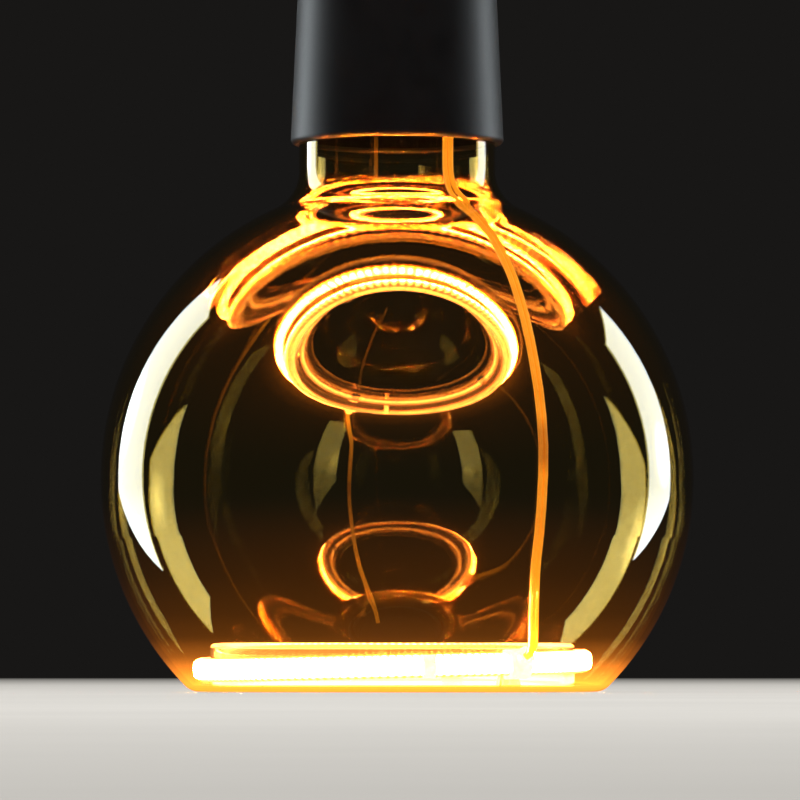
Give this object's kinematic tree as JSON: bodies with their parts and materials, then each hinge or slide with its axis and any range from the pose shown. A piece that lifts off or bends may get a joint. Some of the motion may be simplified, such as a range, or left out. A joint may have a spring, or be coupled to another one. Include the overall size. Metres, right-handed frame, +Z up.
{
  "type": "led globe bulb",
  "caption": "Globe light bulb with an amber glass ball cut off flat at the bottom, a light ring lying inside over the flat, a black driver housing and a screw cap.",
  "frame": {"origin": "middle of the flat glass end, which the bulb stands on", "axes": "+Z up the bulb's axis, from the flat glass end to the screw cap; -Y is the side that the lead is seen from, and the lead runs down the glass between +X and -Y"},
  "size_m": [0.125, 0.125, 0.1797],
  "materials": {
    "amber_glass": "clear amber tinted blown glass",
    "clear_acrylic": "clear moulded acrylic",
    "lit_silicone": "lit translucent silicone",
    "white_film": "white flexible circuit",
    "lit_chip": "lit chip",
    "lit_phosphor": "lit phosphor silicone",
    "joint_silicone": "translucent silicone",
    "clear_silicone": "clear silicone",
    "lead_silicone": "translucent silicone insulation",
    "black_housing": "matte black moulding",
    "cement": "white silicone cement",
    "white_moulding": "moulded plastic",
    "grommet_rubber": "soft rubber",
    "green_board": "solder mask",
    "black_package": "moulded epoxy",
    "resistor_coat": "flameproof coat",
    "red_film_case": "dipped epoxy",
    "capacitor_sleeve": "shrunk sleeve",
    "ferrite": "sintered ferrite",
    "enamelled_copper": "enamelled copper wire",
    "brown_wire": "insulated wire",
    "blue_wire": "insulated wire",
    "nickel_shell": "nickel-plated brass, rolled",
    "black_glass": "black insulating glass",
    "contact_metal": "plated rivet"
  },
  "bodies": {
    "root": {"glass_globe": "amber_glass", "ring_carrier": "clear_acrylic", "ring_diffuser": "lit_silicone", "led_strip": "white_film", "led_chips": "lit_chip", "phosphor_strip": "lit_phosphor", "ring_joint": "joint_silicone", "ring_pads": "clear_silicone", "lead_boot": "joint_silicone", "positive_lead": "lead_silicone", "negative_lead": "lead_silicone", "base_housing": "black_housing", "neck_cement": "cement", "driver_cover": "white_moulding", "lead_grommet": "grommet_rubber", "driver_board": "green_board", "lead_connector": "white_moulding", "bridge_rectifier": "black_package", "fusible_resistor": "resistor_coat", "film_capacitor": "red_film_case", "input_capacitor": "capacitor_sleeve", "choke_core": "ferrite", "choke_winding": "enamelled_copper", "driver_ic": "black_package", "output_capacitor": "capacitor_sleeve", "live_wire": "brown_wire", "neutral_wire": "blue_wire", "screw_shell": "nickel_shell", "cap_insulator": "black_glass", "centre_contact": "contact_metal"}
  },
  "joints": []
}
